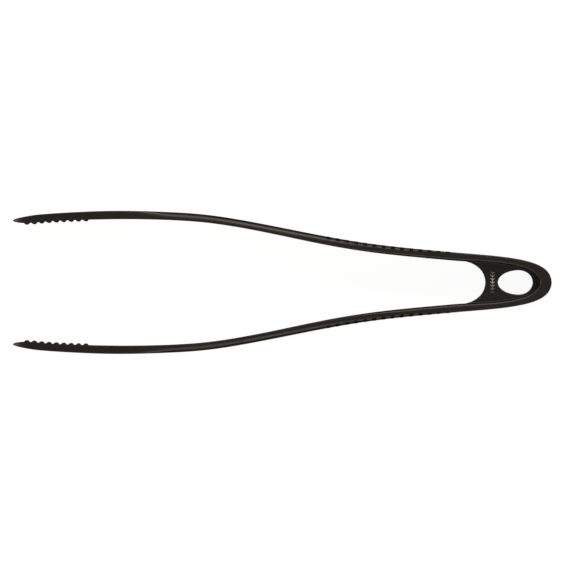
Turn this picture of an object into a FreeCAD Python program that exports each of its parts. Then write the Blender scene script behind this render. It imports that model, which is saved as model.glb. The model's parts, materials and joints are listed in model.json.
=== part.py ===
import FreeCAD, Part
import math
import os

# Long spring tongs lying on their side: the tips point to -X, the tail to +X, the arms open
# along Y, and Z is the width of the band that the arms and the tail bow are made of. The origin
# is under the middle of the bounding box, on the surface that the tongs lie on. Millimetres.

LENGTH = 299.8
BAND_WIDTH = 20.0                 # along Z, at the tail and the handle
JAW_WIDTH = 12.0                  # along Z, at the jaws
TIP_X = -150.0
TAIL_X = TIP_X + LENGTH
MIDDLE_Z = BAND_WIDTH / 2

# The upper arm's centre line in XY, from its root to its tip. The lower arm is its mirror image.
ARM_LINE = [
    (96.0, 14.42), (68.0, 17.0), (46.0, 19.66), (24.0, 23.36), (1.0, 28.0), (-21.0, 32.3),
    (-43.0, 35.58), (-66.0, 37.1), (-88.0, 37.58), (-107.0, 37.27), (-124.0, 36.54),
    (-136.0, 35.66), (-145.0, 34.7), (TIP_X, 34.4),
]
ROOT_SLOPE = math.radians(5.1)    # between the arm's root and the X axis

# Section of the arm at stations along X: (x, value). It eases from each station to the next.
HALF_THICKNESS = [(96.0, 2.28), (34.0, 2.32), (-18.0, 2.12), (-60.0, 2.2), (-95.0, 2.3), (-136.0, 2.08)]
HALF_WIDTH = [(16.0, BAND_WIDTH / 2), (-80.0, JAW_WIDTH / 2)]
OUTER_CORNER = [(96.0, 0.9), (72.0, 1.9), (24.0, 2.6), (-30.0, 3.0), (-64.0, 2.9), (-86.0, 0.5)]
INNER_CORNER = [(96.0, 1.3), (60.0, 1.1), (0.0, 0.8), (-88.0, 0.55)]
CORNER_SHARE = 0.97               # most of the thickness that the two corners take up
SECTION_COUNT = 24                # along the arm, as far as the nose

# The nose of the jaw is a quarter ellipse in both views.
NOSE_X = -136.0
NOSE_LENGTH = 14.0
NOSE_BLUNTNESS = 0.34             # least half-thickness, at the very tip
NOSE_TIP_HALF_WIDTH = 2.5
NOSE_SIDE_LENGTH = 14.5
NOSE_SECTIONS = [-139.0, -142.0, -144.5, -146.5, -148.0, -149.2, TIP_X]

# Tail bow: upper half of its outer and inner outlines, from the root of the arm to the axis.
BOW_OUTER = [(112.8, 15.3), (123.9, 14.12), (135.1, 12.15), (143.4, 9.22), (147.7, 5.85), (TAIL_X, 0.0)]
BOW_INNER = [(104.0, 11.62), (116.1, 10.85), (127.3, 9.45), (132.8, 8.2), (138.4, 5.9), (142.8, 0.0)]
BOW_EDGE_RADIUS = 1.0

# Web plate inside the bow.
WEB_THICKNESS = 4.0
WEB_FRONT_X = 103.6               # where its two horns end
WEB_FRONT_RADIUS = 10.86
WEB_FRONT_CENTRE_X = 102.36
WEB_EDGE_RADIUS = 0.5

# Egg-shaped hanging hole: two half ellipses that share their short axis.
EGG_X = 131.9
EGG_HALF_HEIGHT = 6.75
EGG_FRONT = 11.72
EGG_BACK = 7.73

# Raised sprig on the web.
SPRIG_X = 117.2
SPRIG_STEM_LENGTH = 13.6
SPRIG_STEM_WIDTH = 0.36
SPRIG_HEIGHT = 0.25
LEAF_PAIRS = 7
LEAF_PITCH = 1.85
LEAF_HALF_LENGTH = 0.8
LEAF_HALF_WIDTH = 0.3
LEAF_TURN = 38.0                  # degrees from the stem's normal
LEAF_OFFSET = 0.6

# Knuckle at the arm's root: a round tongue on the tail in a socket in the arm.
TONGUE_RADIUS = 1.6
SOCKET_CLEARANCE = 0.05
SHOULDER_GAP = 0.3                # each side of the hinge axis
TONGUE_END_GAP = 0.4

# Grip strip let into the arm's outer face.
GRIP_RIB_COUNT = 14
GRIP_RIB_FIRST_X = 25.5
GRIP_RIB_LAST_X = 91.9
GRIP_RIB_WIDTH = 2.2
GRIP_DEPTH = 1.2
GRIP_BAND_WIDTH = 12.0            # along Z
GRIP_BAND_START_X = 23.6
GRIP_BAND_END_X = 93.6

# Gripping ribs across the jaw's inner face.
JAW_RIB_COUNT = 9
JAW_RIB_FIRST_X = -142.6
JAW_RIB_LAST_X = -109.6
JAW_RIB_RADIUS = 1.35
JAW_RIB_SINK = 0.42               # of its axis under the jaw's inner face
JAW_RIB_END_INSET = 0.12          # of its ends from the jaw's sides

REACH = 60.0                      # longer than any cut needs
UP = FreeCAD.Vector(0, 0, 1)


def vector(x, y, z=0.0):
    return FreeCAD.Vector(x, y, z)


def eased(x, stations):
    """Value at x, easing smoothly between stations (x, value) that run towards -X."""
    if x >= stations[0][0]:
        return stations[0][1]
    for (x_a, value_a), (x_b, value_b) in zip(stations, stations[1:]):
        if x >= x_b:
            part = (x_a - x) / (x_a - x_b)
            return value_a + (value_b - value_a) * part * part * (3 - 2 * part)
    return stations[-1][1]


def quarter_ellipse(x, length):
    """1 at the start of the nose, falling to 0 at its length."""
    part = min(max((NOSE_X - x) / length, 0.0), 1.0)
    return math.sqrt(1.0 - part * part)


def half_thickness(x):
    return max(eased(x, HALF_THICKNESS) * quarter_ellipse(x, NOSE_LENGTH), NOSE_BLUNTNESS)


def half_width(x):
    straight = eased(x, HALF_WIDTH)
    rounded = straight - NOSE_TIP_HALF_WIDTH
    return NOSE_TIP_HALF_WIDTH + rounded * quarter_ellipse(x, NOSE_SIDE_LENGTH)


def corner_radii(x):
    """Radii at the outer and the inner face."""
    outer = eased(x, OUTER_CORNER)
    inner = eased(x, INNER_CORNER)
    shrink = min(1.0, CORNER_SHARE * 2 * half_thickness(x) / (outer + inner))
    return outer * shrink, inner * shrink


def spline(points, tangents=None):
    curve = Part.BSplineCurve()
    if tangents:
        curve.interpolate(Points=points, InitialTangent=tangents[0], FinalTangent=tangents[1])
    else:
        curve.interpolate(Points=points)
    return curve


arm_curve = spline([vector(x, y) for x, y in ARM_LINE])


def arm_station(x):
    """Point on the arm's centre line at x, its direction towards the tip, and its outward normal."""
    low = arm_curve.FirstParameter
    high = arm_curve.LastParameter
    for _ in range(40):
        middle = (low + high) / 2
        if arm_curve.value(middle).x > x:
            low = middle
        else:
            high = middle
    along = arm_curve.tangent(middle)[0]
    along.normalize()
    return arm_curve.value(middle), along, vector(along.y, -along.x)


def section_wire(x):
    """Rounded rectangle across the arm at x."""
    centre, along, outward = arm_station(x)
    outer_radius, inner_radius = corner_radii(x)
    across = half_thickness(x)
    side = half_width(x)
    edges = []
    corners = [(1, 1), (-1, 1), (-1, -1), (1, -1)]

    def point(u, w):
        return centre + outward * u + UP * (MIDDLE_Z + w)

    ends = []
    for sign_u, sign_w in corners:
        radius = outer_radius if sign_u > 0 else inner_radius
        hub_u = sign_u * (across - radius)
        hub_w = sign_w * (side - radius)
        on_face = point(hub_u + sign_u * radius, hub_w)
        on_side = point(hub_u, hub_w + sign_w * radius)
        diagonal = radius / math.sqrt(2)
        middle = point(hub_u + sign_u * diagonal, hub_w + sign_w * diagonal)
        first, last = (on_face, on_side) if sign_u == sign_w else (on_side, on_face)
        ends.append((first, middle, last))
    for index, (first, middle, last) in enumerate(ends):
        edges.append(Part.Arc(first, middle, last).toShape())
        edges.append(Part.LineSegment(last, ends[(index + 1) % 4][0]).toShape())
    return Part.Wire(edges)


def whole_arm():
    """Upper arm before its knuckle, strip and rib grooves are cut."""
    root_x = ARM_LINE[0][0]
    step = (NOSE_X - root_x) / (SECTION_COUNT - 1)
    stations = [root_x + step * index for index in range(SECTION_COUNT)] + NOSE_SECTIONS
    return Part.makeLoft([section_wire(x) for x in stations], True, False)


def prism(outline_edges, bottom, height):
    face = Part.Face(Part.Wire(outline_edges))
    face.translate(UP * bottom)
    return face.extrude(UP * height)


def mirrored(shape):
    """The same shape on the lower arm."""
    return shape.mirror(vector(0, 0), vector(0, 1))


def both_sides(points):
    """Upper half of an outline, and then its mirror image back."""
    return points + [vector(p.x, -p.y) for p in reversed(points[:-1])]


hinge = vector(*ARM_LINE[0])
root_along = vector(-math.cos(ROOT_SLOPE), math.sin(ROOT_SLOPE))
root_outward = vector(math.sin(ROOT_SLOPE), math.cos(ROOT_SLOPE))


def bow_outline(points, side):
    """Whole U-shaped outline of the bow; side is 1 for the outer one, -1 for the inner one."""
    start = hinge + root_outward * (side * half_thickness(hinge.x))
    upper = [start] + [vector(x, y) for x, y in points]
    return spline(both_sides(upper), (-root_along, vector(root_along.x, root_along.y)))


def slab_at_hinge(start, length):
    """Block across the arm's root, from start to start + length along the arm."""
    block = Part.makeBox(length, REACH / 2, REACH, vector(start, -REACH / 4, -REACH / 4))
    block.rotate(vector(0, 0), UP, 180 - math.degrees(ROOT_SLOPE))
    block.translate(hinge)
    return block


def upright_cylinder(radius, centre, bottom, height):
    return Part.makeCylinder(radius, height, vector(centre.x, centre.y, bottom), UP)


def make_tail_loop():
    outer = bow_outline(BOW_OUTER, 1)
    inner = bow_outline(BOW_INNER, -1)
    edges = [
        outer.toShape(),
        Part.LineSegment(outer.EndPoint, inner.EndPoint).toShape(),
        inner.toShape(),
        Part.LineSegment(inner.StartPoint, outer.StartPoint).toShape(),
    ]
    loop = prism(Part.__sortEdges__(edges), 0, BAND_WIDTH)
    long_edges = [edge for edge in loop.Edges if edge.Length > BAND_WIDTH * 2]
    loop = loop.makeFillet(BOW_EDGE_RADIUS, long_edges)
    tongue = upright_cylinder(TONGUE_RADIUS, hinge, TONGUE_END_GAP, BAND_WIDTH - 2 * TONGUE_END_GAP)
    gap = slab_at_hinge(-SHOULDER_GAP, REACH / 4)
    for side_gap, side_tongue in ((gap, tongue), (mirrored(gap), mirrored(tongue))):
        loop = loop.cut(side_gap).fuse(side_tongue)
    return loop.removeSplitter()


def egg_edges():
    """Outline of the hanging hole, at Z = 0."""
    edges = []
    for reach, turn in ((EGG_FRONT, 1), (EGG_BACK, -1)):
        long_axis, short_axis = max(reach, EGG_HALF_HEIGHT), min(reach, EGG_HALF_HEIGHT)
        ellipse = Part.Ellipse(vector(EGG_X, 0), long_axis, short_axis)
        start, end = (math.pi / 2, math.pi * 1.5) if turn > 0 else (-math.pi / 2, math.pi / 2)
        edges.append(Part.ArcOfEllipse(ellipse, start, end).toShape())
    return edges


def is_egg_rim(edge):
    """Is this one of the plate's level edges round the hanging hole?"""
    box = edge.BoundBox
    level = box.ZLength < 0.01
    inside_x = box.XMin > EGG_X - EGG_FRONT - 0.01 and box.XMax < EGG_X + EGG_BACK + 0.01
    inside_y = box.YMin > -EGG_HALF_HEIGHT - 0.01 and box.YMax < EGG_HALF_HEIGHT + 0.01
    return level and inside_x and inside_y


def make_web_plate():
    inner = bow_outline(BOW_INNER, -1)
    closing = Part.LineSegment(inner.EndPoint, inner.StartPoint).toShape()
    bottom = MIDDLE_Z - WEB_THICKNESS / 2
    plate = prism([inner.toShape(), closing], bottom, WEB_THICKNESS)
    front = Part.makeBox(REACH, REACH, REACH, vector(WEB_FRONT_X - REACH, -REACH / 2, -REACH / 4))
    throat = upright_cylinder(WEB_FRONT_RADIUS, vector(WEB_FRONT_CENTRE_X, 0), 0, BAND_WIDTH)
    egg = prism(egg_edges(), 0, BAND_WIDTH)
    plate = plate.cut(front).cut(throat).cut(egg)
    rims = [edge for edge in plate.Edges if is_egg_rim(edge)]
    return plate.makeFillet(WEB_EDGE_RADIUS, rims)


def make_web_relief():
    """Plain sprig: a stem across the web with pairs of small leaves."""
    bottom = MIDDLE_Z + WEB_THICKNESS / 2
    corner = vector(SPRIG_X - SPRIG_STEM_WIDTH / 2, -SPRIG_STEM_LENGTH / 2, bottom)
    sprig = Part.makeBox(SPRIG_STEM_WIDTH, SPRIG_STEM_LENGTH, SPRIG_HEIGHT, corner)
    leaves = []
    for pair in range(LEAF_PAIRS):
        along = (pair - (LEAF_PAIRS - 1) / 2) * LEAF_PITCH
        for side in (-1, 1):
            ellipse = Part.Ellipse(vector(0, 0), LEAF_HALF_LENGTH, LEAF_HALF_WIDTH)
            leaf = prism([ellipse.toShape()], bottom, SPRIG_HEIGHT)
            leaf.rotate(vector(0, 0), UP, side * LEAF_TURN)
            leaf.translate(vector(SPRIG_X + side * LEAF_OFFSET, along))
            leaves.append(leaf)
    return sprig.multiFuse(leaves).removeSplitter()


def evenly(first, last, count):
    return [first + (last - first) * index / (count - 1) for index in range(count)]


def make_grip_strip(arm):
    """Layer of the arm under its outer face: a middle band with ribs out to both shoulders."""
    inside = []
    for x in evenly(GRIP_BAND_END_X, GRIP_BAND_START_X, 9):
        centre, along, outward = arm_station(x)
        inside.append(centre + outward * (half_thickness(x) - GRIP_DEPTH))
    bed = spline(inside)
    above = [bed.EndPoint + vector(0, GRIP_DEPTH * 4), bed.StartPoint + vector(0, GRIP_DEPTH * 4)]
    outline = [
        bed.toShape(),
        Part.LineSegment(bed.EndPoint, above[0]).toShape(),
        Part.LineSegment(above[0], above[1]).toShape(),
        Part.LineSegment(above[1], bed.StartPoint).toShape(),
    ]
    layer = prism(outline, 0, BAND_WIDTH)
    length = GRIP_BAND_END_X - GRIP_BAND_START_X
    band_corner = vector(GRIP_BAND_START_X, 0, MIDDLE_Z - GRIP_BAND_WIDTH / 2)
    band = Part.makeBox(length, REACH, GRIP_BAND_WIDTH, band_corner)
    ribs = []
    for x in evenly(GRIP_RIB_FIRST_X, GRIP_RIB_LAST_X, GRIP_RIB_COUNT):
        centre, along, outward = arm_station(x)
        rib_corner = vector(-GRIP_RIB_WIDTH / 2, -REACH / 8, 0)
        rib = Part.makeBox(GRIP_RIB_WIDTH, REACH / 4, BAND_WIDTH, rib_corner)
        rib.rotate(vector(0, 0), UP, math.degrees(math.atan2(along.y, along.x)))
        rib.translate(centre)
        ribs.append(rib)
    pattern = band.multiFuse(ribs)
    return arm.common(layer).common(pattern).removeSplitter()


def jaw_rib_axes():
    """Place of each upper jaw rib's axis, from the tip, with half the rib's length."""
    for x in evenly(JAW_RIB_FIRST_X, JAW_RIB_LAST_X, JAW_RIB_COUNT):
        centre, along, outward = arm_station(x)
        axis = centre - outward * (half_thickness(x) - JAW_RIB_SINK)
        yield axis, half_width(x) - JAW_RIB_END_INSET


def make_jaw_ribs():
    """Round ribs across the upper jaw, numbered from the tip."""
    return [
        upright_cylinder(JAW_RIB_RADIUS, axis, MIDDLE_Z - half_length, 2 * half_length)
        for axis, half_length in jaw_rib_axes()
    ]


def make_arm(arm, strip):
    arm = arm.cut(slab_at_hinge(-REACH / 4, REACH / 4 + SHOULDER_GAP))
    arm = arm.cut(upright_cylinder(TONGUE_RADIUS + SOCKET_CLEARANCE, hinge, 0, BAND_WIDTH))
    arm = arm.cut(strip)
    for axis, half_length in jaw_rib_axes():
        arm = arm.cut(upright_cylinder(JAW_RIB_RADIUS, axis, 0, BAND_WIDTH))
    return arm


def save(name, shape):
    shape.exportStep("parts/" + name + ".step")
    print(name, "valid", shape.isValid(), "solids", len(shape.Solids), "volume", round(shape.Volume, 1))


def main():
    os.makedirs("parts", exist_ok=True)
    save("tail_loop", make_tail_loop())
    save("web_plate", make_web_plate())
    save("web_relief", make_web_relief())
    blank = whole_arm()
    strip = make_grip_strip(blank)
    pieces = {"arm": make_arm(blank, strip), "grip_strip": strip}
    for number, rib in enumerate(make_jaw_ribs(), 1):
        pieces["jaw_rib_" + str(number)] = rib
    for name, shape in pieces.items():
        save("upper_" + name, shape)
        save("lower_" + name, mirrored(shape))


main()
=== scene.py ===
import json
import math

import bpy
import numpy as np
from mathutils import Matrix, Vector
from mathutils.geometry import delaunay_2d_cdt


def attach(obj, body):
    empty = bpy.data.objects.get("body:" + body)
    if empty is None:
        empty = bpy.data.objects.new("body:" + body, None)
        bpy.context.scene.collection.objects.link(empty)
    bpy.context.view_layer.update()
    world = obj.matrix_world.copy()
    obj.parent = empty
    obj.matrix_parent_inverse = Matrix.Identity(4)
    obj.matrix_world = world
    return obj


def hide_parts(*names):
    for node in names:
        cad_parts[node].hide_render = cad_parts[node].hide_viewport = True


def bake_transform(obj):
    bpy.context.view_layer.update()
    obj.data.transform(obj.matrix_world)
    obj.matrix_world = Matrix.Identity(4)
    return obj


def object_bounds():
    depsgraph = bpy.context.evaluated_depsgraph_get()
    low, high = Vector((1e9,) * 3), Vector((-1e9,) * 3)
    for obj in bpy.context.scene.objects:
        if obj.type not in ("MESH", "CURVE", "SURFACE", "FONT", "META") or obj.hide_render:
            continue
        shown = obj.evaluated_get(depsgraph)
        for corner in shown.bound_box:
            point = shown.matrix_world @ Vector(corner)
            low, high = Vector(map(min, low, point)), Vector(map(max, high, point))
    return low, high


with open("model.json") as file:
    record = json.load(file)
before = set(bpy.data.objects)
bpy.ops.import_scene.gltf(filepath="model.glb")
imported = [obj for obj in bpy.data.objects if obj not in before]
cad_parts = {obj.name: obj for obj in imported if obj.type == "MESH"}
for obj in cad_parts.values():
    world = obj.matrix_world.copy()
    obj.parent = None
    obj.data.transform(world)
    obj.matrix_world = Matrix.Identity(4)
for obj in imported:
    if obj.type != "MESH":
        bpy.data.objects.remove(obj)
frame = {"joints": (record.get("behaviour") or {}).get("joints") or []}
cad_bounds = [list(corner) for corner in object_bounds()]

# Long spring tongs lying on their side. The shapes are worked out in millimetres and made in metres.
MM = 0.001
low_corner, high_corner = cad_bounds
TIP_X = low_corner[0] / MM
TAIL_X = high_corner[0] / MM
BAND_WIDTH = (high_corner[2] - low_corner[2]) / MM
MIDDLE_Z = BAND_WIDTH / 2
JAW_WIDTH = 12.0
hinge_place = next(j for j in frame["joints"] if j["name"] == "upper_arm_squeeze")["pos_m"]
HINGE_X = hinge_place[0] / MM
HINGE_Y = hinge_place[1] / MM

# The upper arm's centre line, from its root to its tip. The lower arm is its mirror image.
ARM_LINE = [
    (HINGE_X, HINGE_Y), (68.0, 17.0), (46.0, 19.66), (24.0, 23.36), (1.0, 28.0), (-21.0, 32.3),
    (-43.0, 35.58), (-66.0, 37.1), (-88.0, 37.58), (-107.0, 37.27), (-124.0, 36.54),
    (-136.0, 35.66), (-145.0, 34.7), (TIP_X, 34.4),
]
ROOT_SLOPE = math.radians(5.1)

# Section at stations along X: (x, value), easing from each to the next. An outer corner starts
# OUTER_CORNER in from the outer face, and ends OUTER_DROP below the band's side.
HALF_THICKNESS = [(96.0, 2.28), (34.0, 2.32), (-18.0, 2.12), (-60.0, 2.2), (-95.0, 2.3), (-136.0, 2.08)]
HALF_WIDTH = [(16.0, BAND_WIDTH / 2), (-80.0, JAW_WIDTH / 2)]
OUTER_CORNER = [
    (104.0, 0.6), (86.0, 0.9), (66.0, 2.1), (24.0, 3.1), (-24.0, 3.75), (-76.0, 3.7), (-90.0, 0.6),
]
OUTER_DROP = [
    (104.0, 0.6), (86.0, 0.9), (66.0, 2.1), (24.0, 3.0), (-30.0, 3.5), (-58.0, 3.0), (-82.0, 0.45),
]
INNER_CORNER = [(104.0, 1.9), (66.0, 1.9), (36.0, 0.9), (10.0, 0.6), (-88.0, 0.5)]
CORNER_SHARE = 0.97               # most of the thickness that the two corners take up
NOSE_X = -136.0
NOSE_LENGTH = NOSE_X - TIP_X
NOSE_TIP_HALF_THICKNESS = 0.16
NOSE_TIP_HALF_WIDTH = 2.5
NOSE_SIDE_LENGTH = 14.5
SKIN_INSET = 0.02                 # of the moulding's faces; the parting line stands up to the outline
PARTING_HALF_WIDTH = 0.12

# Tail bow: upper half of its outlines, from the root of the arm to the axis.
BOW_OUTER = [(112.8, 15.3), (123.9, 14.12), (135.1, 12.15), (143.4, 9.22), (147.7, 5.85), (TAIL_X, 0.0)]
BOW_INNER = [(104.0, 11.62), (116.1, 10.85), (127.3, 9.45), (132.8, 8.2), (138.4, 5.9), (142.8, 0.0)]
BOW_OUTER_CORNER = 0.7
BOW_INNER_CORNER = 1.85
SEAM_X = 106.0                    # where the moulding starts to bend

# Web plate.
WEB_HALF_THICKNESS = 2.0
WEB_SINK = 0.3                    # of its rim in the bow's wall
COVE_RADIUS = [(138.0, 0.2), (124.0, 0.35)]    # between plate and wall, at stations along X
EDGE_RADIUS = 0.6                 # at its free edges
THROAT_RADIUS = 10.86
THROAT_X = 102.36
THROAT_ANGLES = (0, 20, 40, 58)   # of the points on the throat's round part
HORN = [(105.5, 10.66), (102.9, 11.52), (99.6, 12.0 + WEB_SINK)]    # and those on to its end
EGG_X = 131.9
EGG_HALF_HEIGHT = 6.75
EGG_FRONT = 11.72
EGG_BACK = 7.73

# Grip strip, let into the outer face.
GRIP_RIB_COUNT = 14
GRIP_RIB_FIRST_X = 25.5
GRIP_RIB_LAST_X = 91.9
GRIP_RIB_HALF_WIDTH = 1.1
GRIP_BAND_X = (93.6, 23.6)
GRIP_BAND_SHARE = 0.6             # of the face's width
GRIP_REACH = 1.4                  # of the ribs round the shoulder, from the outer edge
GRIP_MOST_REACH = 0.92            # of the corner
POCKET_DEPTH = 0.6
GRIP_FOOT = -0.06                 # height over the moulding's face, between the ribs
GRIP_CREST = 0.1                  # and on them
LIP = 0.18                        # width of the ribs' slopes
LIP_MOST = 0.12                   # of the angle up to the rib's end
WALL = 0.06                       # width of the pocket's walls, nearly upright
WALL_MOST = 0.3                   # of the angle past the rib's end

# Jaw ribs.
JAW_RIB_COUNT = 9
JAW_RIB_FIRST_X = -142.6
JAW_RIB_LAST_X = -109.6
JAW_RIB_RADIUS = 1.35
JAW_RIB_SINK = 0.42
JAW_RIB_FILLET = 0.6              # between a rib and the jaw's face
JAW_RIB_DOME = 0.1                # of its ends over the jaw's sides
JAW_RIB_ROUND = 0.55
JAW_RIB_FALL = (0.02, 0.05)       # of its end, halfway out and at the start of its rounding

# Sprig raised on the web.
SPRIG_X = 117.2
SPRIG_HALF_LENGTH = 6.9
SPRIG_HEIGHT = 0.25
SPRIG_SINK = 0.04                 # of its rim in the plate
STEM_HALF_WIDTH = 0.18
LEAF_PAIRS = 7
LEAF_PITCH = 1.85
LEAF_HALF_LENGTH = 0.8
LEAF_HALF_WIDTH = 0.32
LEAF_POINT = 0.75                 # power of its outline: the higher, the more pointed
LEAF_LEAST_HALF_WIDTH = 0.01
LEAF_TURN = math.radians(38)
LEAF_OFFSET = 0.6
# Painted highlight on the sprig: full out to the first reach, faded to the sprig's own darker tone at the
# second.
MARK_HIGHLIGHT_MIDDLE_Y = 1.0               # middle of the painted highlight on the sprig
MARK_HIGHLIGHT_FULL_REACH = 1.5             # each way from there, the painted highlight is at full strength
MARK_HIGHLIGHT_FADED_REACH = 4.8

# Floor and lights, in metres: two long lights beside the arms, and four square ones further off.
FLOOR_REACH = 4.0                 # each way from the middle
NEAR_AIM = (0.03, 0.0, MIDDLE_Z * MM)
NEAR_AWAY = 0.25
NEAR_SIZE = (0.34, 0.1)
FAR_AIM = (0.0, 0.0, MIDDLE_Z * MM)
FAR_AWAY = 1.5
FAR_SIZE = (0.4, 0.4)
WARM_WHITE = (1.0, 0.95, 0.9)

# Camera, straight above, in metres.
VIEW_WIDTH = 0.31784              # across the picture, at the tongs' middle height
CAMERA_X = 0.00152
CAMERA_Y = -0.00145
CAMERA_HEIGHT = 3.0
SENSOR = 36.0                     # millimetres

# How finely the meshes are divided.
CURVE_STEPS = 160                 # from each point of a curve to the next
INNER_CORNER_STEPS = 8
FLAT_MARGIN = 0.1                 # from the last point on a flat to its end
ARM_STATIONS = 130
LEAST_STATION_GAP = 0.4
NOSE_STATIONS = 24
SEAM_STATIONS = 9
BOW_STATIONS = 90
ROD_SIDES = 40
ROD_ROUND_STEPS = 6
WEB_SPACING = 0.6
HORN_MARGIN = 0.01                # of wall kept before the web's first point
WEB_GRID_X = (97.0, 145.0)
WEB_GRID_Y = 13.0
WEB_GRID_STEP = 1.3
WALL_LOOPS = (0.0, -0.04, -0.12, -0.28, -0.5, -0.8, -1.2, -1.7, -2.3, -3.0)
EDGE_LOOPS = (-0.04, -0.12, -0.25, -0.42, -EDGE_RADIUS)
LOOP_SLACK = 0.98                 # share of its distance that a loop's point keeps from its own border
LEAST_LOOP_GAP = 0.03             # and least distance from another border
GRID_MARGIN = 0.4                 # from the last loop at a free edge
EGG_POINTS = 100
LEAF_ROWS = 13
LEAF_COLUMNS = 7
SHARP_ANGLE = math.radians(40)
TEXTURE_RANGE = (0.3, 0.7)        # of a noise texture's values that is laid out in full

TINY = 1e-6


# ---------------------------------------------------------------- curves and sections

def smooth_line(points, start=None, end=None):
    """Points and directions along a smooth curve through the points.

    Its directions at its two ends are start and end, and it runs out straight where they aren't given.
    """
    points = np.array(points, float)
    count = len(points)
    chords = np.linalg.norm(np.diff(points, axis=0), axis=1)
    steps = np.diff(points, axis=0) / chords[:, None]
    matrix = np.zeros((count, count))
    known = np.zeros((count, 2))
    for i in range(1, count - 1):
        matrix[i, i - 1:i + 2] = (chords[i], 2 * (chords[i - 1] + chords[i]), chords[i - 1])
        known[i] = 3 * (chords[i] * steps[i - 1] + chords[i - 1] * steps[i])
    for row, neighbour, direction, step in ((0, 1, start, steps[0]), (-1, -2, end, steps[-1])):
        matrix[row, row] = 1 if direction is not None else 2
        matrix[row, neighbour] = 0 if direction is not None else 1
        known[row] = direction if direction is not None else 3 * step
    slopes = np.linalg.solve(matrix, known)
    t = np.linspace(0, 1, CURVE_STEPS, endpoint=False)[:, None]
    places, directions = [], []
    for i in range(count - 1):
        a, b, h = points[i], points[i + 1], chords[i]
        cubic = 2 * (a - b) + h * (slopes[i] + slopes[i + 1])
        square = 3 * (b - a) - h * (2 * slopes[i] + slopes[i + 1])
        places.append(a + h * slopes[i] * t + square * t ** 2 + cubic * t ** 3)
        directions.append(h * slopes[i] + 2 * square * t + 3 * cubic * t ** 2)
    places.append(points[-1:])
    directions.append(slopes[-1:])
    places, directions = np.vstack(places), np.vstack(directions)
    return places, directions / np.linalg.norm(directions, axis=1)[:, None]


def eased(x, stations):
    """Values at x, easing between stations that run towards -X."""
    value = np.full(np.shape(x), float(stations[-1][1]))
    for (x_a, value_a), (x_b, value_b) in reversed(list(zip(stations, stations[1:]))):
        part = np.clip((x_a - x) / (x_a - x_b), 0, 1)
        between = value_a + (value_b - value_a) * part * part * (3 - 2 * part)
        value = np.where(x >= x_b, between, value)
    return value


def quarter_ellipse(x, length):
    """Share of a section's size that is left at x, over the length of the rounded nose."""
    part = np.clip((NOSE_X - x) / length, 0, 1)
    return np.sqrt(1 - part * part)


def half_thickness(x):
    return np.maximum(eased(x, HALF_THICKNESS) * quarter_ellipse(x, NOSE_LENGTH), NOSE_TIP_HALF_THICKNESS)


def half_width(x):
    rounded = eased(x, HALF_WIDTH) - NOSE_TIP_HALF_WIDTH
    return NOSE_TIP_HALF_WIDTH + rounded * quarter_ellipse(x, NOSE_SIDE_LENGTH)


def evenly(first, last, count):
    """That many values in even steps, with both ends."""
    return [first + (last - first) * index / (count - 1) for index in range(count)]


jaw_rib_middles = evenly(JAW_RIB_FIRST_X, JAW_RIB_LAST_X, JAW_RIB_COUNT)
rib_sink = JAW_RIB_SINK - SKIN_INSET
fillet_centre = math.sqrt((JAW_RIB_RADIUS + JAW_RIB_FILLET) ** 2 - (JAW_RIB_FILLET + rib_sink) ** 2)
fillet_meets_rib = fillet_centre * JAW_RIB_RADIUS / (JAW_RIB_RADIUS + JAW_RIB_FILLET)


def fillet_rise(x):
    """Height over the jaw's face of the fillets beside its ribs."""
    away = np.min([np.abs(x - middle) for middle in jaw_rib_middles], axis=0)
    across = np.clip(fillet_centre - np.maximum(away, fillet_meets_rib), 0, JAW_RIB_FILLET)
    return JAW_RIB_FILLET - np.sqrt(JAW_RIB_FILLET ** 2 - across ** 2)


root_direction = np.array([-math.cos(ROOT_SLOPE), math.sin(ROOT_SLOPE)])
root_outward = np.array([math.sin(ROOT_SLOPE), math.cos(ROOT_SLOPE)])
arm_places, arm_directions = smooth_line(ARM_LINE, start=root_direction)


class Sections:
    """Rounded rectangles across the band, one a station.

    A corner reaches inwards from its face by outer_corner or inner_corner. The outer one drops by
    outer_drop below the band's side. The inner face stands inner_rise further out than the outer one.
    """

    def __init__(self, x, centre, outward, half, side, outer_corner, outer_drop, inner_corner, inner_rise):
        self.x = x
        self.centre = centre
        self.outward = outward
        self.half = half
        self.side = side
        shrink = np.minimum(1.0, CORNER_SHARE * 2 * half / (outer_corner + inner_corner))
        self.outer_corner = outer_corner * shrink
        self.outer_drop = outer_drop * shrink
        self.inner_corner = inner_corner * shrink
        self.inner_rise = inner_rise

    def parts(self):
        return [
            self.x, self.centre, self.outward, self.half, self.side,
            self.outer_corner, self.outer_drop, self.inner_corner, self.inner_rise,
        ]


def arm_sections(x):
    """Sections of the upper arm at x, from its root towards its tip."""
    x = np.array(x, float)
    order = -arm_places[:, 0]
    centre = np.stack([x, np.interp(-x, order, arm_places[:, 1])], axis=1)
    along = np.stack([np.interp(-x, order, arm_directions[:, i]) for i in (0, 1)], axis=1)
    along /= np.linalg.norm(along, axis=1)[:, None]
    outward = np.stack([along[:, 1], -along[:, 0]], axis=1)
    return Sections(
        x, centre, outward, half_thickness(x) - SKIN_INSET, half_width(x),
        eased(x, OUTER_CORNER), eased(x, OUTER_DROP), eased(x, INNER_CORNER), fillet_rise(x),
    )


def bow_outline(points, side):
    """Upper half of the bow's outer outline (side 1) or inner one (-1), from the arm's root."""
    root = np.array([HINGE_X, HINGE_Y]) + root_outward * side * half_thickness(HINGE_X)
    return smooth_line([tuple(root)] + points, start=-root_direction, end=np.array([0.0, -1.0]))


bow_outer, _ = bow_outline(BOW_OUTER, 1)
bow_inner, bow_inner_directions = bow_outline(BOW_INNER, -1)
bow_run = np.concatenate([[0], np.cumsum(np.linalg.norm(np.diff(bow_inner, axis=0), axis=1))])
BOW_LENGTH = bow_run[-1]


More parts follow.
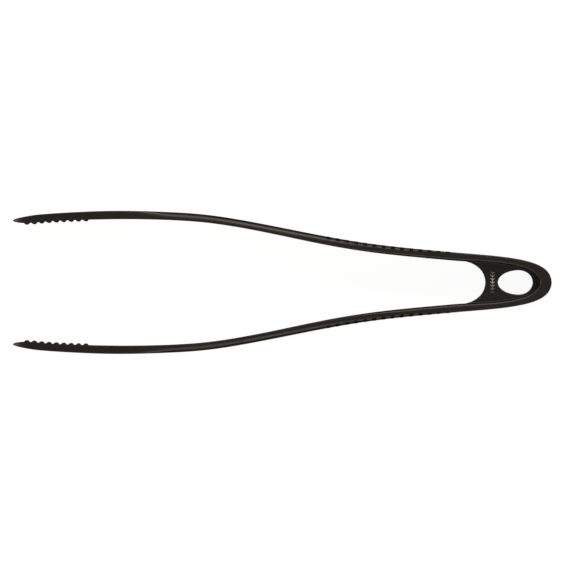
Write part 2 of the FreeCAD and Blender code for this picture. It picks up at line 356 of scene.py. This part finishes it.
def bow_sections(run):
    """Sections of the bow's upper half, at distances along its inner outline from the arm's root."""
    run = np.array(run, float)
    inner = np.stack([np.interp(run, bow_run, bow_inner[:, i]) for i in (0, 1)], axis=1)
    along = np.stack([np.interp(run, bow_run, bow_inner_directions[:, i]) for i in (0, 1)], axis=1)
    along /= np.linalg.norm(along, axis=1)[:, None]
    outward = np.stack([-along[:, 1], along[:, 0]], axis=1)
    # The thickness at a place is how far ahead of it, along the normal, the outer outline lies.
    thickness = []
    for place, normal in zip(inner, outward):
        reach = bow_outer - place
        aside = reach[:, 0] * normal[1] - reach[:, 1] * normal[0]
        ahead = reach @ normal
        aside = np.where(ahead > 0, np.abs(aside), np.inf)
        thickness.append(ahead[np.argmin(aside)])
    half = np.array(thickness) / 2
    centre = inner + outward * half[:, None]
    x = inner[:, 0]
    side = np.full(len(x), BAND_WIDTH / 2)
    near_root = np.clip(run / (SEAM_X - HINGE_X), 0, 1)
    outer_corner = eased(HINGE_X, OUTER_CORNER) * (1 - near_root) + BOW_OUTER_CORNER * near_root
    inner_corner = eased(HINGE_X, INNER_CORNER) * (1 - near_root) + BOW_INNER_CORNER * near_root
    return Sections(
        x, centre, outward, half - SKIN_INSET, side, outer_corner, outer_corner, inner_corner, 0 * half,
    )


def mirrored(sections):
    """The same stations on the lower side, in reverse order."""
    flip = np.array([1.0, -1.0])
    x, centre, outward, *sizes = [part[::-1] for part in sections.parts()]
    return Sections(x, centre * flip, outward * flip, *sizes)


def joined(*groups):
    """One run of stations made of several."""
    return Sections(*[np.concatenate(parts) for parts in zip(*[group.parts() for group in groups])])


# ---------------------------------------------------------------- the ring of points round a section

class Ring:
    """Points round every section: how far out (u) and up (w) they are, with their normals.

    A row is a station and a column is a point, counted round from the middle of the outer face. The grip
    strip's band reaches to band_column, and its ribs to end_column.
    """

    def __init__(self, sections):
        self.sections = sections
        flat_end = sections.side - sections.outer_drop
        band_edge = GRIP_BAND_SHARE * sections.side
        face = [0.0, PARTING_HALF_WIDTH, band_edge * 0.5, band_edge - LIP]
        self.band_column = len(face)
        face += [band_edge, band_edge + WALL]
        face += [band_edge + (flat_end - band_edge) * 0.6, flat_end - FLAT_MARGIN]
        columns = [(sections.half, height, 1.0, 0.0) for height in face]
        reach = np.clip(GRIP_REACH / sections.outer_corner, 0, GRIP_MOST_REACH)
        end_angle = np.arccos(1 - reach)
        lip_angle = np.minimum(LIP / sections.outer_corner, LIP_MOST * end_angle)
        rest = math.pi / 2 - end_angle
        wall_angle = np.minimum(WALL / sections.outer_corner, WALL_MOST * rest)
        angles = [end_angle * share for share in (0.0, 0.2, 0.4, 0.6, 0.8)] + [end_angle - lip_angle]
        self.end_column = len(columns) + len(angles)
        angles += [end_angle, end_angle + wall_angle, end_angle + (rest + wall_angle) * 0.5, math.pi / 2]
        inner_face = sections.half + sections.inner_rise
        outer = (sections.half, sections.outer_corner, sections.outer_drop)
        inner = (inner_face, sections.inner_corner, sections.inner_corner)
        columns += [self.corner(angle, *outer, 1) for angle in angles]
        start = sections.half - sections.outer_corner
        end = -(inner_face - sections.inner_corner)
        for share in (0.1, 0.5, 0.9):
            columns.append((start + (end - start) * share, sections.side, 0.0, 1.0))
        for step in range(INNER_CORNER_STEPS + 1):
            angle = math.pi / 2 * (1 - step / INNER_CORNER_STEPS)
            columns.append(self.corner(angle, *inner, -1))
        flat_end = sections.side - sections.inner_corner
        for height in (flat_end - FLAT_MARGIN, flat_end * 0.5, PARTING_HALF_WIDTH, 0.0):
            columns.append((-inner_face, height, -1.0, 0.0))
        count = len(sections.x)
        upper = np.array([[np.broadcast_to(value, count) for value in column] for column in columns])
        self.half_count = len(columns)
        lower = upper[-2:0:-1] * np.array([1, -1, 1, -1])[None, :, None]
        self.u, self.w, self.normal_u, self.normal_w = np.concatenate([upper, lower]).transpose(1, 2, 0)
        self.count = self.u.shape[1]

    def corner(self, angle, face, reach, drop, side):
        """A point on the corner at the outer face (side 1) or the inner one (-1), where angle 0 is."""
        u = side * (face - reach + reach * np.cos(angle))
        w = self.sections.side - drop + drop * np.sin(angle)
        steep = np.hypot(drop * np.cos(angle), reach * np.sin(angle))
        return u, w, side * drop * np.cos(angle) / steep, reach * np.sin(angle) / steep

    def places(self, height):
        """Positions in metres, height millimetres over the surface."""
        u = self.u + self.normal_u * height
        w = self.w + self.normal_w * height
        flat = self.sections.centre[:, None, :] + self.sections.outward[:, None, :] * u[:, :, None]
        return np.concatenate([flat, (MIDDLE_Z + w)[:, :, None]], axis=2) * MM


def parting_height(ring):
    """The fine line round the middle of the moulding, where the mould's halves meet."""
    height = np.zeros(ring.u.shape)
    height[:, 0] = SKIN_INSET
    height[:, ring.half_count - 1] = SKIN_INSET
    return height


# ---------------------------------------------------------------- meshes

def make_object(name, places, faces):
    mesh = bpy.data.meshes.new(name)
    mesh.from_pydata([tuple(place) for place in places], [], faces)
    mesh.validate()
    mesh.polygons.foreach_set("use_smooth", [True] * len(mesh.polygons))
    mesh.set_sharp_from_angle(angle=SHARP_ANGLE)
    mesh.update()
    piece = bpy.data.objects.new(name, mesh)
    bpy.context.scene.collection.objects.link(piece)
    return piece


def tube_faces(stations, around):
    """Faces of a closed tube with flat ends."""
    faces = []
    for i in range(stations - 1):
        for j in range(around):
            k = (j + 1) % around
            faces.append((i * around + j, (i + 1) * around + j, (i + 1) * around + k, i * around + k))
    faces.append(tuple(range(around)))
    faces.append(tuple((stations - 1) * around + j for j in reversed(range(around))))
    return faces


def flipped(places, faces):
    """The mirror image on the lower arm, with its faces still facing out."""
    return places * np.array([1, -1, 1]), [tuple(reversed(face)) for face in faces]


def closed_layer(top, bottom, cells):
    """A closed sheet of those cells of a grid, between its top and its bottom places."""
    used = {}
    places = []

    def corner(i, j, level):
        key = (i, j, level)
        if key not in used:
            used[key] = len(places)
            places.append((top if level else bottom)[i, j])
        return used[key]

    faces = []
    chosen = set(cells)
    for i, j in cells:
        faces.append((corner(i, j, 1), corner(i + 1, j, 1), corner(i + 1, j + 1, 1), corner(i, j + 1, 1)))
        faces.append((corner(i, j + 1, 0), corner(i + 1, j + 1, 0), corner(i + 1, j, 0), corner(i, j, 0)))
        sides = [((i, j - 1), (i, j), (i + 1, j)), ((i, j + 1), (i + 1, j + 1), (i, j + 1)),
                 ((i - 1, j), (i, j + 1), (i, j)), ((i + 1, j), (i + 1, j), (i + 1, j + 1))]
        for neighbour, a, b in sides:
            if neighbour not in chosen:
                faces.append((corner(*b, 1), corner(*a, 1), corner(*a, 0), corner(*b, 0)))
    return np.array(places), faces


# ---------------------------------------------------------------- arms and grip strips

grip_rib_middles = evenly(GRIP_RIB_LAST_X, GRIP_RIB_FIRST_X, GRIP_RIB_COUNT)


def arm_stations():
    """X of the arm's sections: a loop at each edge of the grip strip's ribs, and even steps elsewhere."""
    loops = [GRIP_BAND_X[0] + WALL, GRIP_BAND_X[0], GRIP_BAND_X[1], GRIP_BAND_X[1] - WALL]
    for middle in grip_rib_middles:
        for offset in (GRIP_RIB_HALF_WIDTH + WALL, GRIP_RIB_HALF_WIDTH, GRIP_RIB_HALF_WIDTH - LIP):
            loops += [middle + offset, middle - offset]
        loops.append(middle)
    for middle in jaw_rib_middles:
        for share in (0.0, 0.25, 0.5, 0.75, 1.0):
            offset = fillet_meets_rib + (fillet_centre - fillet_meets_rib) * share
            loops += [middle + offset, middle - offset]
    for x in evenly(HINGE_X, NOSE_X, ARM_STATIONS):
        if min(abs(x - loop) for loop in loops) > LEAST_STATION_GAP:
            loops.append(x)
    for step in range(1, NOSE_STATIONS + 1):
        loops.append(NOSE_X - NOSE_LENGTH * math.sin(math.pi / 2 * step / NOSE_STATIONS))
    return np.array(sorted(loops, reverse=True))


def in_rib(x, half):
    """Whether x is within that half width of the middle of one of the grip strip's ribs."""
    return np.min([np.abs(x - middle) for middle in grip_rib_middles], axis=0) < half + TINY


def ring_column(ring):
    """How far each point of the ring is from the middle of the outer face, counted in points."""
    column = np.arange(ring.count)
    return np.minimum(column, ring.count - column)


seam_runs = evenly(float(np.interp(SEAM_X, bow_inner[:, 0], bow_run)), 0.0, SEAM_STATIONS)[:-1]
arm_band = joined(bow_sections(seam_runs), arm_sections(arm_stations()))
arm_ring = Ring(arm_band)


def arm_shape():
    """The arm from its seam with the bow, with the pocket of the grip strip sunk in it."""
    ring = arm_ring
    column = ring_column(ring)[None, :]
    x = arm_band.x[:, None]
    rib = in_rib(x, GRIP_RIB_HALF_WIDTH) & (column <= ring.end_column)
    band = (x < GRIP_BAND_X[0] + TINY) & (x > GRIP_BAND_X[1] - TINY) & (column <= ring.band_column)
    height = np.where(rib | band, -POCKET_DEPTH, parting_height(ring))
    places = ring.places(height)
    stations = len(arm_band.x)
    return places.reshape(-1, 3), tube_faces(stations, ring.count)


def strip_shape():
    """The band in its pocket, and the ribs that run from it round the arm's shoulders."""
    ring = arm_ring
    reach = ring.end_column
    inside = (arm_band.x < GRIP_BAND_X[0] + TINY) & (arm_band.x > GRIP_BAND_X[1] - TINY)
    rows = np.nonzero(inside)[0]
    columns = np.concatenate([np.arange(ring.count - reach, ring.count), np.arange(reach + 1)])
    signed = np.arange(-reach, reach + 1)
    x = arm_band.x[rows]
    crest = in_rib(x, GRIP_RIB_HALF_WIDTH - LIP)[:, None] & (np.abs(signed) < reach)[None, :]
    chosen = np.ix_(rows, columns)
    height = np.full(ring.u.shape, GRIP_FOOT)
    height[chosen] = np.where(crest, GRIP_CREST * ring.normal_u[chosen], GRIP_FOOT)
    top = ring.places(height)[chosen]
    bottom = ring.places(-POCKET_DEPTH + GRIP_FOOT / 2)[chosen]
    middle_x = (x[:-1] + x[1:]) / 2
    on_rib = in_rib(middle_x, GRIP_RIB_HALF_WIDTH)
    cells = []
    for i in range(len(rows) - 1):
        for j in range(2 * reach):
            if on_rib[i] or max(abs(signed[j]), abs(signed[j + 1])) <= ring.band_column:
                cells.append((i, j))
    return closed_layer(top, bottom, cells)


def rod_shape(axis, half_length):
    """Upright rod with rounded, slightly domed ends."""
    around = ROD_SIDES
    half_fall, full_fall = JAW_RIB_FALL
    profile = [(0.0, half_length), (JAW_RIB_RADIUS * 0.5, half_length - half_fall)]
    shoulder = JAW_RIB_RADIUS - JAW_RIB_ROUND
    for step in range(ROD_ROUND_STEPS + 1):
        angle = math.pi / 2 * step / ROD_ROUND_STEPS
        radius = shoulder + JAW_RIB_ROUND * math.sin(angle)
        profile.append((radius, half_length - full_fall - JAW_RIB_ROUND * (1 - math.cos(angle))))
    profile.append((JAW_RIB_RADIUS, half_length * 0.5))
    profile += [(radius, -height) for radius, height in reversed(profile)]
    places, faces = [], []
    for radius, height in profile[1:-1]:
        for k in range(around):
            turn = 2 * math.pi * k / around
            x, y = axis[0] + radius * math.cos(turn), axis[1] + radius * math.sin(turn)
            places.append((x, y, MIDDLE_Z + height))
    for i in range(len(profile) - 3):
        for k in range(around):
            n = (k + 1) % around
            faces.append((i * around + k, (i + 1) * around + k, (i + 1) * around + n, i * around + n))
    for end, start in ((0, 0), (-1, (len(profile) - 3) * around)):
        places.append((axis[0], axis[1], MIDDLE_Z + profile[end][1]))
        tip = len(places) - 1
        for k in range(around):
            pair = (start + k, start + (k + 1) % around)
            faces.append((tip, *pair) if end == 0 else (tip, *reversed(pair)))
    return np.array(places) * MM, faces


# ---------------------------------------------------------------- tail

def tail_shape():
    """The bow, from seam to seam."""
    runs = evenly(seam_runs[0], BOW_LENGTH, BOW_STATIONS)
    upper = bow_sections(runs)
    lower = mirrored(bow_sections(runs[:-1]))
    ring = Ring(joined(upper, lower))
    return ring.places(parting_height(ring)).reshape(-1, 3), tube_faces(2 * len(runs) - 1, ring.count)


def resampled(line, spacing):
    """Even steps along a line."""
    run = np.concatenate([[0], np.cumsum(np.linalg.norm(np.diff(line, axis=0), axis=1))])
    steps = np.linspace(0, run[-1], max(3, int(run[-1] / spacing) + 1))
    return np.stack([np.interp(steps, run, line[:, i]) for i in (0, 1)], axis=1)


def both_halves(line):
    """A line from the axis outwards, with its mirror image before it."""
    return np.vstack([line[:0:-1] * np.array([1, -1]), line])


def throat_line():
    """Front edge of the web: round at the axis, and running out along the arms' inner faces."""
    points = [
        (THROAT_X + THROAT_RADIUS * math.cos(angle), THROAT_RADIUS * math.sin(angle))
        for angle in map(math.radians, THROAT_ANGLES)
    ]
    line, _ = smooth_line(points + HORN, start=np.array([0.0, 1.0]))
    return line


def egg_line():
    """The hanging hole's outline: two half ellipses of one height."""
    turn = np.linspace(0, 2 * math.pi, EGG_POINTS, endpoint=False)
    reach = np.where(np.cos(turn) > 0, EGG_BACK, EGG_FRONT)
    return np.stack([EGG_X + reach * np.cos(turn), EGG_HALF_HEIGHT * np.sin(turn)], axis=1)


def inside_polygon(points, polygon):
    """Whether a line from each point towards +X crosses the polygon an odd number of times."""
    a, b = polygon, np.roll(polygon, -1, axis=0)
    x, y = points[:, 0][:, None], points[:, 1][:, None]
    crosses = (a[:, 1] > y) != (b[:, 1] > y)
    rise = np.where(b[:, 1] == a[:, 1], TINY, b[:, 1] - a[:, 1])
    at = a[:, 0] + (y - a[:, 1]) * (b[:, 0] - a[:, 0]) / rise
    return (crosses & (x < at)).sum(axis=1) % 2 == 1


def distance_to(points, line, closed=False):
    """Distance of each point from a line of many short steps."""
    a = line if closed else line[:-1]
    b = np.roll(line, -1, axis=0) if closed else line[1:]
    along = b - a
    reach = points[:, None, :] - a[None]
    part = np.clip((reach * along).sum(2) / np.maximum((along ** 2).sum(1), TINY), 0, 1)
    return np.linalg.norm(reach - part[:, :, None] * along, axis=2).min(axis=1)


def offset_points(line, distances, closed=False):
    """Copies of a line moved sideways, to its left for positive distances."""
    if closed:
        along = np.roll(line, -1, axis=0) - np.roll(line, 1, axis=0)
    else:
        along = np.gradient(line, axis=0)
    along /= np.linalg.norm(along, axis=1)[:, None]
    left = np.stack([-along[:, 1], along[:, 0]], axis=1)
    return [line + left * distance for distance in distances]


def quarter_round(distance, radius):
    """How far a quarter-round edge or cove has fallen or risen at a distance from its end."""
    left = np.clip(radius - distance, 0, radius)
    return radius - np.sqrt(radius * radius - left * left)


def web_borders():
    """The web's borders: (line, whether it is closed, places beside it for loops of points)."""
    throat = both_halves(resampled(throat_line(), WEB_SPACING))
    wall = np.vstack([bow_inner, (bow_inner[::-1] * np.array([1, -1]))[1:]])
    wall = resampled(wall[wall[:, 0] > throat[-1, 0] - HORN_MARGIN], WEB_SPACING)
    return [(wall, False, WALL_LOOPS), (throat, False, EDGE_LOOPS), (egg_line(), True, EDGE_LOOPS)]


def loops_beside(borders):
    """Points beside every border, clear of the other borders and of its own further parts."""
    loops = []
    for line, closed, distances in borders:
        for distance, moved in zip(distances, offset_points(line, distances, closed)):
            clear = np.ones(len(moved), bool)
            for other, other_closed, _ in borders:
                gap = abs(distance) * LOOP_SLACK
                if other is not line:
                    gap = max(gap, LEAST_LOOP_GAP)
                clear &= distance_to(moved, other, other_closed) >= gap
            loops.append(moved[clear])
    return loops


def grid_between(borders):
    """Even points over the web's flat, clear of the loops at its free edges."""
    across = np.arange(*WEB_GRID_X, WEB_GRID_STEP)
    up = np.arange(-WEB_GRID_Y, WEB_GRID_Y + WEB_GRID_STEP / 2, WEB_GRID_STEP)
    grid = np.array([(x, y) for x in across for y in up])
    gap = np.min([distance_to(grid, line, closed) for line, closed, _ in borders], axis=0)
    return grid[gap > EDGE_RADIUS + GRID_MARGIN]


def triangulated(outline, hole, extra):
    """Triangles between an outline and its hole, with the extra points as corners too."""
    flat = np.vstack([outline, hole, extra])
    rim, rest = len(outline), len(hole)
    edges = [(i, (i + 1) % rim) for i in range(rim)]
    edges += [(rim + i, rim + (i + 1) % rest) for i in range(rest)]
    vertices, _, triangles, *_ = delaunay_2d_cdt([Vector(p) for p in flat], edges, [], 0, 1e-5)
    flat = np.array([tuple(v) for v in vertices])
    triangles = np.array([tuple(t) for t in triangles])
    middles = flat[triangles].mean(axis=1)
    return flat, triangles[inside_polygon(middles, outline) & ~inside_polygon(middles, hole)]


def plate_faces(flat, triangles):
    """Faces of a plate: its top, its bottom, whose places follow the top's, and its sides."""
    count = len(flat)
    faces = []
    edges = []
    for a, b, c in triangles:
        if np.cross(flat[b] - flat[a], flat[c] - flat[a]) < 0:
            b, c = c, b
        faces.append((a, b, c))
        faces.append((c + count, b + count, a + count))
        edges += [(a, b), (b, c), (c, a)]
    known = set(edges)
    for a, b in edges:
        if (b, a) not in known:
            faces.append((b, a, a + count, b + count))
    return [tuple(int(i) for i in face) for face in faces]


def web_shape():
    """Plate between the bow's walls, coved into them, with rounded free edges."""
    borders = web_borders()
    wall, throat, egg = [line for line, _, _ in borders]
    outline = np.vstack([offset_points(wall, [WEB_SINK])[0], throat[1:-1]])
    extra = np.vstack(loops_beside(borders) + [grid_between(borders)])
    extra = extra[inside_polygon(extra, outline) & ~inside_polygon(extra, egg)]
    flat, triangles = triangulated(outline, egg, extra)
    from_wall = distance_to(flat, wall)
    from_wall = np.where(inside_polygon(flat, np.vstack([wall, throat[1:-1]])), from_wall, 0)
    from_edge = np.minimum(distance_to(flat, throat), distance_to(flat, egg, True))
    cove = quarter_round(from_wall, eased(flat[:, 0], COVE_RADIUS))
    height = WEB_HALF_THICKNESS + cove - quarter_round(from_edge, EDGE_RADIUS)
    top = np.column_stack([flat, MIDDLE_Z + height])
    bottom = np.column_stack([flat, MIDDLE_Z - height])
    return np.vstack([top, bottom]) * MM, plate_faces(flat, triangles)


# ---------------------------------------------------------------- sprig

def leaf_shape(centre, turn, half_length, half_width_of_leaf):
    """Pointed, domed leaf, sunk a little in the plate."""
    rows, columns = LEAF_ROWS, LEAF_COLUMNS
    base = MIDDLE_Z + WEB_HALF_THICKNESS
    places, faces = [], []
    for i in range(rows):
        t = -1 + 2 * i / (rows - 1)
        wide = half_width_of_leaf * max(1 - t * t, 0.0) ** LEAF_POINT + LEAF_LEAST_HALF_WIDTH
        for j in range(columns):
            v = -1 + 2 * j / (columns - 1)
            on_rim = abs(v) == 1 or abs(t) == 1
            rise = SPRIG_HEIGHT * (1 - v ** 4) * (1 - t ** 4) - SPRIG_SINK * on_rim
            x, y = t * half_length, v * wide
            places.append((
                centre[0] + x * math.cos(turn) - y * math.sin(turn),
                centre[1] + x * math.sin(turn) + y * math.cos(turn),
                base + rise,
            ))
    for i in range(rows - 1):
        for j in range(columns - 1):
            a = i * columns + j
            faces.append((a, a + columns, a + columns + 1, a + 1))
    border = list(range(columns)) + [i * columns + columns - 1 for i in range(1, rows)]
    border += [(rows - 1) * columns + j for j in range(columns - 2, -1, -1)]
    border += [i * columns for i in range(rows - 2, 0, -1)]
    faces.append(tuple(border))
    return np.array(places) * MM, faces


def sprig_shape():
    """A stem along Y with pairs of leaves."""
    shapes = [leaf_shape((SPRIG_X, 0.0), math.pi / 2, SPRIG_HALF_LENGTH, STEM_HALF_WIDTH)]
    for pair in range(LEAF_PAIRS):
        along = (pair - (LEAF_PAIRS - 1) / 2) * LEAF_PITCH
        for side in (-1, 1):
            centre = (SPRIG_X + side * LEAF_OFFSET, along)
            shapes.append(leaf_shape(centre, side * LEAF_TURN, LEAF_HALF_LENGTH, LEAF_HALF_WIDTH))
    places, faces = [], []
    for shape_places, shape_faces in shapes:
        start = sum(len(group) for group in places)
        places.append(shape_places)
        faces += [tuple(index + start for index in face) for face in shape_faces]
    return np.vstack(places), faces


# ---------------------------------------------------------------- materials

def new_material(name):
    """A material with its nodes, links and shader, and the place on the piece that textures follow."""
    material = bpy.data.materials.new(name)
    material.use_nodes = True
    nodes = material.node_tree.nodes
    shader = nodes["Principled BSDF"]
    place = nodes.new("ShaderNodeTexCoord")
    return material, nodes, material.node_tree.links, shader, place.outputs["Object"]


def noise(nodes, links, place, scale, detail, roughness=0.5):
    texture = nodes.new("ShaderNodeTexNoise")
    texture.inputs["Scale"].default_value = scale
    texture.inputs["Detail"].default_value = detail
    texture.inputs["Roughness"].default_value = roughness
    links.new(place, texture.inputs["Vector"])
    return texture.outputs["Fac"]


def spread(nodes, links, value, low, high):
    """A texture's value laid out between low and high."""
    node = nodes.new("ShaderNodeMapRange")
    node.inputs["From Min"].default_value, node.inputs["From Max"].default_value = TEXTURE_RANGE
    node.inputs["To Min"].default_value = low
    node.inputs["To Max"].default_value = high
    links.new(value, node.inputs["Value"])
    return node.outputs["Result"]


def two_tones(nodes, links, value, dark, light):
    """A texture's value as a colour between dark and light."""
    ramp = nodes.new("ShaderNodeValToRGB")
    for element, position, tone in zip(ramp.color_ramp.elements, TEXTURE_RANGE, (dark, light)):
        element.position = position
        element.color = (*tone, 1)
    links.new(value, ramp.inputs["Fac"])
    return ramp.outputs["Color"]


def bump(nodes, links, shader, heights):
    """Bumps laid one over the other: (height, depth in metres, strength)."""
    normal = None
    for height, depth, strength in heights:
        node = nodes.new("ShaderNodeBump")
        node.inputs["Distance"].default_value = depth
        node.inputs["Strength"].default_value = strength
        links.new(height, node.inputs["Height"])
        if normal is not None:
            links.new(normal, node.inputs["Normal"])
        normal = node.outputs["Normal"]
    links.new(normal, shader.inputs["Normal"])


def moulded_plastic():
    """Glass-filled nylon with the fine matt texture of its mould."""
    material, nodes, links, shader, place = new_material("moulded_plastic")
    cloud = noise(nodes, links, place, 90, 3)
    grain = noise(nodes, links, place, 2600, 2, 0.6)
    tones = two_tones(nodes, links, cloud, (0.0166, 0.0124, 0.0092), (0.0206, 0.0158, 0.0120))
    links.new(tones, shader.inputs["Base Color"])
    links.new(spread(nodes, links, cloud, 0.32, 0.38), shader.inputs["Roughness"])
    shader.inputs["Specular IOR Level"].default_value = 0.5
    bump(nodes, links, shader, [(cloud, 0.00005, 0.15), (grain, 0.00002, 0.35)])
    return material


def elastomer(name, dark, light, roughness, specular):
    """Rubbery plastic with a fine matt grain."""
    material, nodes, links, shader, place = new_material(name)
    cloud = noise(nodes, links, place, 160, 2)
    grain = noise(nodes, links, place, 3800, 2, 0.6)
    links.new(two_tones(nodes, links, cloud, dark, light), shader.inputs["Base Color"])
    links.new(spread(nodes, links, cloud, *roughness), shader.inputs["Roughness"])
    shader.inputs["Specular IOR Level"].default_value = specular
    bump(nodes, links, shader, [(grain, 0.00002, 0.4)])
    return material


def soft_rubber():
    """Black and dull, for the grip strips."""
    return elastomer("soft_rubber", (0.0032, 0.0032, 0.0032), (0.0052, 0.0050, 0.0050), (0.74, 0.86), 0.2)


def firm_rubber():
    """Close to the moulding's own colour, for the jaw ribs."""
    return elastomer("firm_rubber", (0.0128, 0.0100, 0.0078), (0.0156, 0.0124, 0.0098), (0.4, 0.48), 0.45)


def sprig_with_painted_highlight():
    """Lighter plastic of the raised sprig, with a painted highlight on its middle, so that it grows darker
    towards its ends.
    """
    material, nodes, links, shader, place = new_material("sprig_with_painted_highlight")
    cloud = noise(nodes, links, place, 300, 2)
    split = nodes.new("ShaderNodeSeparateXYZ")
    links.new(place, split.inputs["Vector"])
    shifted = nodes.new("ShaderNodeMath")
    shifted.operation = "SUBTRACT"
    shifted.inputs[1].default_value = MARK_HIGHLIGHT_MIDDLE_Y * MM
    links.new(split.outputs["Y"], shifted.inputs[0])
    away = nodes.new("ShaderNodeMath")
    away.operation = "ABSOLUTE"
    links.new(shifted.outputs[0], away.inputs[0])
    # Painted highlight: pale near its middle, fading to the sprig's own darker tone towards its ends.
    ramp = nodes.new("ShaderNodeValToRGB")
    ramp.color_ramp.elements[0].position = MARK_HIGHLIGHT_FULL_REACH * MM
    ramp.color_ramp.elements[0].color = (0.8, 0.78, 0.76, 1)
    ramp.color_ramp.elements[1].position = MARK_HIGHLIGHT_FADED_REACH * MM
    ramp.color_ramp.elements[1].color = (0.10, 0.09, 0.085, 1)
    links.new(away.outputs[0], ramp.inputs["Fac"])
    links.new(ramp.outputs["Color"], shader.inputs["Base Color"])
    links.new(spread(nodes, links, cloud, 0.3, 0.4), shader.inputs["Roughness"])
    bump(nodes, links, shader, [(cloud, 0.00002, 0.2)])
    return material


def pale_floor():
    """White ground that glows like a light table, so that no shadow darkens it."""
    material, nodes, links, shader, place = new_material("pale_floor")
    cloud = noise(nodes, links, place, 6, 2)
    tones = two_tones(nodes, links, cloud, (0.18, 0.18, 0.18), (0.20, 0.20, 0.20))
    links.new(tones, shader.inputs["Base Color"])
    shader.inputs["Roughness"].default_value = 0.9
    shader.inputs["Specular IOR Level"].default_value = 0.1
    shader.inputs["Emission Color"].default_value = (1, 1, 1, 1)
    shader.inputs["Emission Strength"].default_value = 0.94
    return material


plastic = moulded_plastic()
rubber = soft_rubber()
rib_rubber = firm_rubber()
mark = sprig_with_painted_highlight()


# ---------------------------------------------------------------- pieces

def place_piece(name, shape, material, nodes, body=None, bend=None):
    """A piece that rides on a body, or one that runs from the tail into an arm and is left unattached, in
    place of some nodes.
    """
    piece = make_object(name, *shape)
    piece.data.materials.append(material)
    if bend:
        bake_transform(piece)
    else:
        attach(piece, body)
    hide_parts(*nodes)


place_piece("tail_bow", tail_shape(), plastic, ["tail_loop"], body="tail")
place_piece("tail_web", web_shape(), plastic, ["web_plate"], body="tail")
place_piece("tail_sprig", sprig_shape(), mark, ["web_relief"], body="tail")

rib_sections = arm_sections(jaw_rib_middles)
rib_depth = rib_sections.half + SKIN_INSET - JAW_RIB_SINK
rib_axes = rib_sections.centre - rib_sections.outward * rib_depth[:, None]
rods = [rod_shape(axis, side + JAW_RIB_DOME) for axis, side in zip(rib_axes, rib_sections.side)]
arm = arm_shape()
strip = strip_shape()


def on_side(side, shape):
    """The shape as it is on the upper arm, or its mirror image for the lower one."""
    return flipped(*shape) if side == "lower" else shape


for side in ("upper", "lower"):
    arm_name = side + "_arm"
    shank = on_side(side, arm)
    place_piece(side + "_shank", shank, plastic, [arm_name], bend=arm_name)
    grip = on_side(side, strip)
    place_piece(side + "_grip", grip, rubber, [side + "_grip_strip"], bend=arm_name)
    for number, rod in enumerate(rods, 1):
        name = side + "_rib_" + str(number)
        node = side + "_jaw_rib_" + str(number)
        place_piece(name, on_side(side, rod), rib_rubber, [node], body=arm_name)


# ---------------------------------------------------------------- floor, lights and camera

def make_floor():
    reach = FLOOR_REACH
    corners = np.array([(-reach, -reach, 0), (reach, -reach, 0), (reach, reach, 0), (-reach, reach, 0)])
    floor = make_object("floor", corners, [(0, 1, 2, 3)])
    floor.data.materials.append(pale_floor())
    floor.visible_glossy = False


def soft_light(name, aim, away, side_tilt, end_tilt, size, strength):
    """Softbox aimed at a point, tilted from overhead towards +Y and +X.

    It stands away metres off, and its strength is the light that reaches the point.
    """
    towards = Vector((math.tan(math.radians(end_tilt)), math.tan(math.radians(side_tilt)), 1)).normalized()
    light = bpy.data.lights.new(name, "AREA")
    light.shape = "RECTANGLE"
    light.size, light.size_y = size
    light.energy = strength * math.pi * away ** 2
    light.color = WARM_WHITE
    lamp = bpy.data.objects.new(name, light)
    lamp.location = Vector(aim) + towards * away
    across = Vector((0, 1, 0)).cross(towards).normalized()
    lamp.rotation_euler = Matrix((across, towards.cross(across), towards)).transposed().to_euler()
    lamp.visible_camera = False
    bpy.context.scene.collection.objects.link(lamp)


make_floor()
soft_light("upper_near", NEAR_AIM, NEAR_AWAY, 55, 0, NEAR_SIZE, 1.42)
soft_light("lower_near", NEAR_AIM, NEAR_AWAY, -55, 0, NEAR_SIZE, 0.86)
soft_light("upper_softbox", FAR_AIM, FAR_AWAY, 50, 20, FAR_SIZE, 0.3)
soft_light("lower_softbox", FAR_AIM, FAR_AWAY, -50, 20, FAR_SIZE, 0.1)
soft_light("top_softbox", FAR_AIM, FAR_AWAY, 0, 20, FAR_SIZE, 0.06)
soft_light("tip_softbox", FAR_AIM, FAR_AWAY, 0, -50, FAR_SIZE, 0.42)


def make_world():
    """Dim even light from above, and none from below."""
    made = bpy.data.worlds.new("studio")
    made.use_nodes = True
    nodes, links = made.node_tree.nodes, made.node_tree.links
    direction = nodes.new("ShaderNodeTexCoord")
    split = nodes.new("ShaderNodeSeparateXYZ")
    ramp = nodes.new("ShaderNodeValToRGB")
    ramp.color_ramp.elements[0].position = 0.0
    ramp.color_ramp.elements[0].color = (0, 0, 0, 1)
    ramp.color_ramp.elements[1].position = 0.35
    ramp.color_ramp.elements[1].color = (*WARM_WHITE, 1)
    links.new(direction.outputs["Generated"], split.inputs["Vector"])
    links.new(split.outputs["Z"], ramp.inputs["Fac"])
    links.new(ramp.outputs["Color"], nodes["Background"].inputs["Color"])
    nodes["Background"].inputs["Strength"].default_value = 0.15
    return made


bpy.context.scene.world = make_world()
bpy.context.scene.view_settings.view_transform = "Standard"

camera_data = bpy.data.cameras.new("camera")
camera_data.sensor_width = SENSOR
camera_data.lens = SENSOR * CAMERA_HEIGHT / VIEW_WIDTH
camera_data.clip_end = 20
camera = bpy.data.objects.new("camera", camera_data)
camera.location = (CAMERA_X, CAMERA_Y, CAMERA_HEIGHT + MIDDLE_Z * MM)
bpy.context.scene.collection.objects.link(camera)
bpy.context.scene.camera = camera
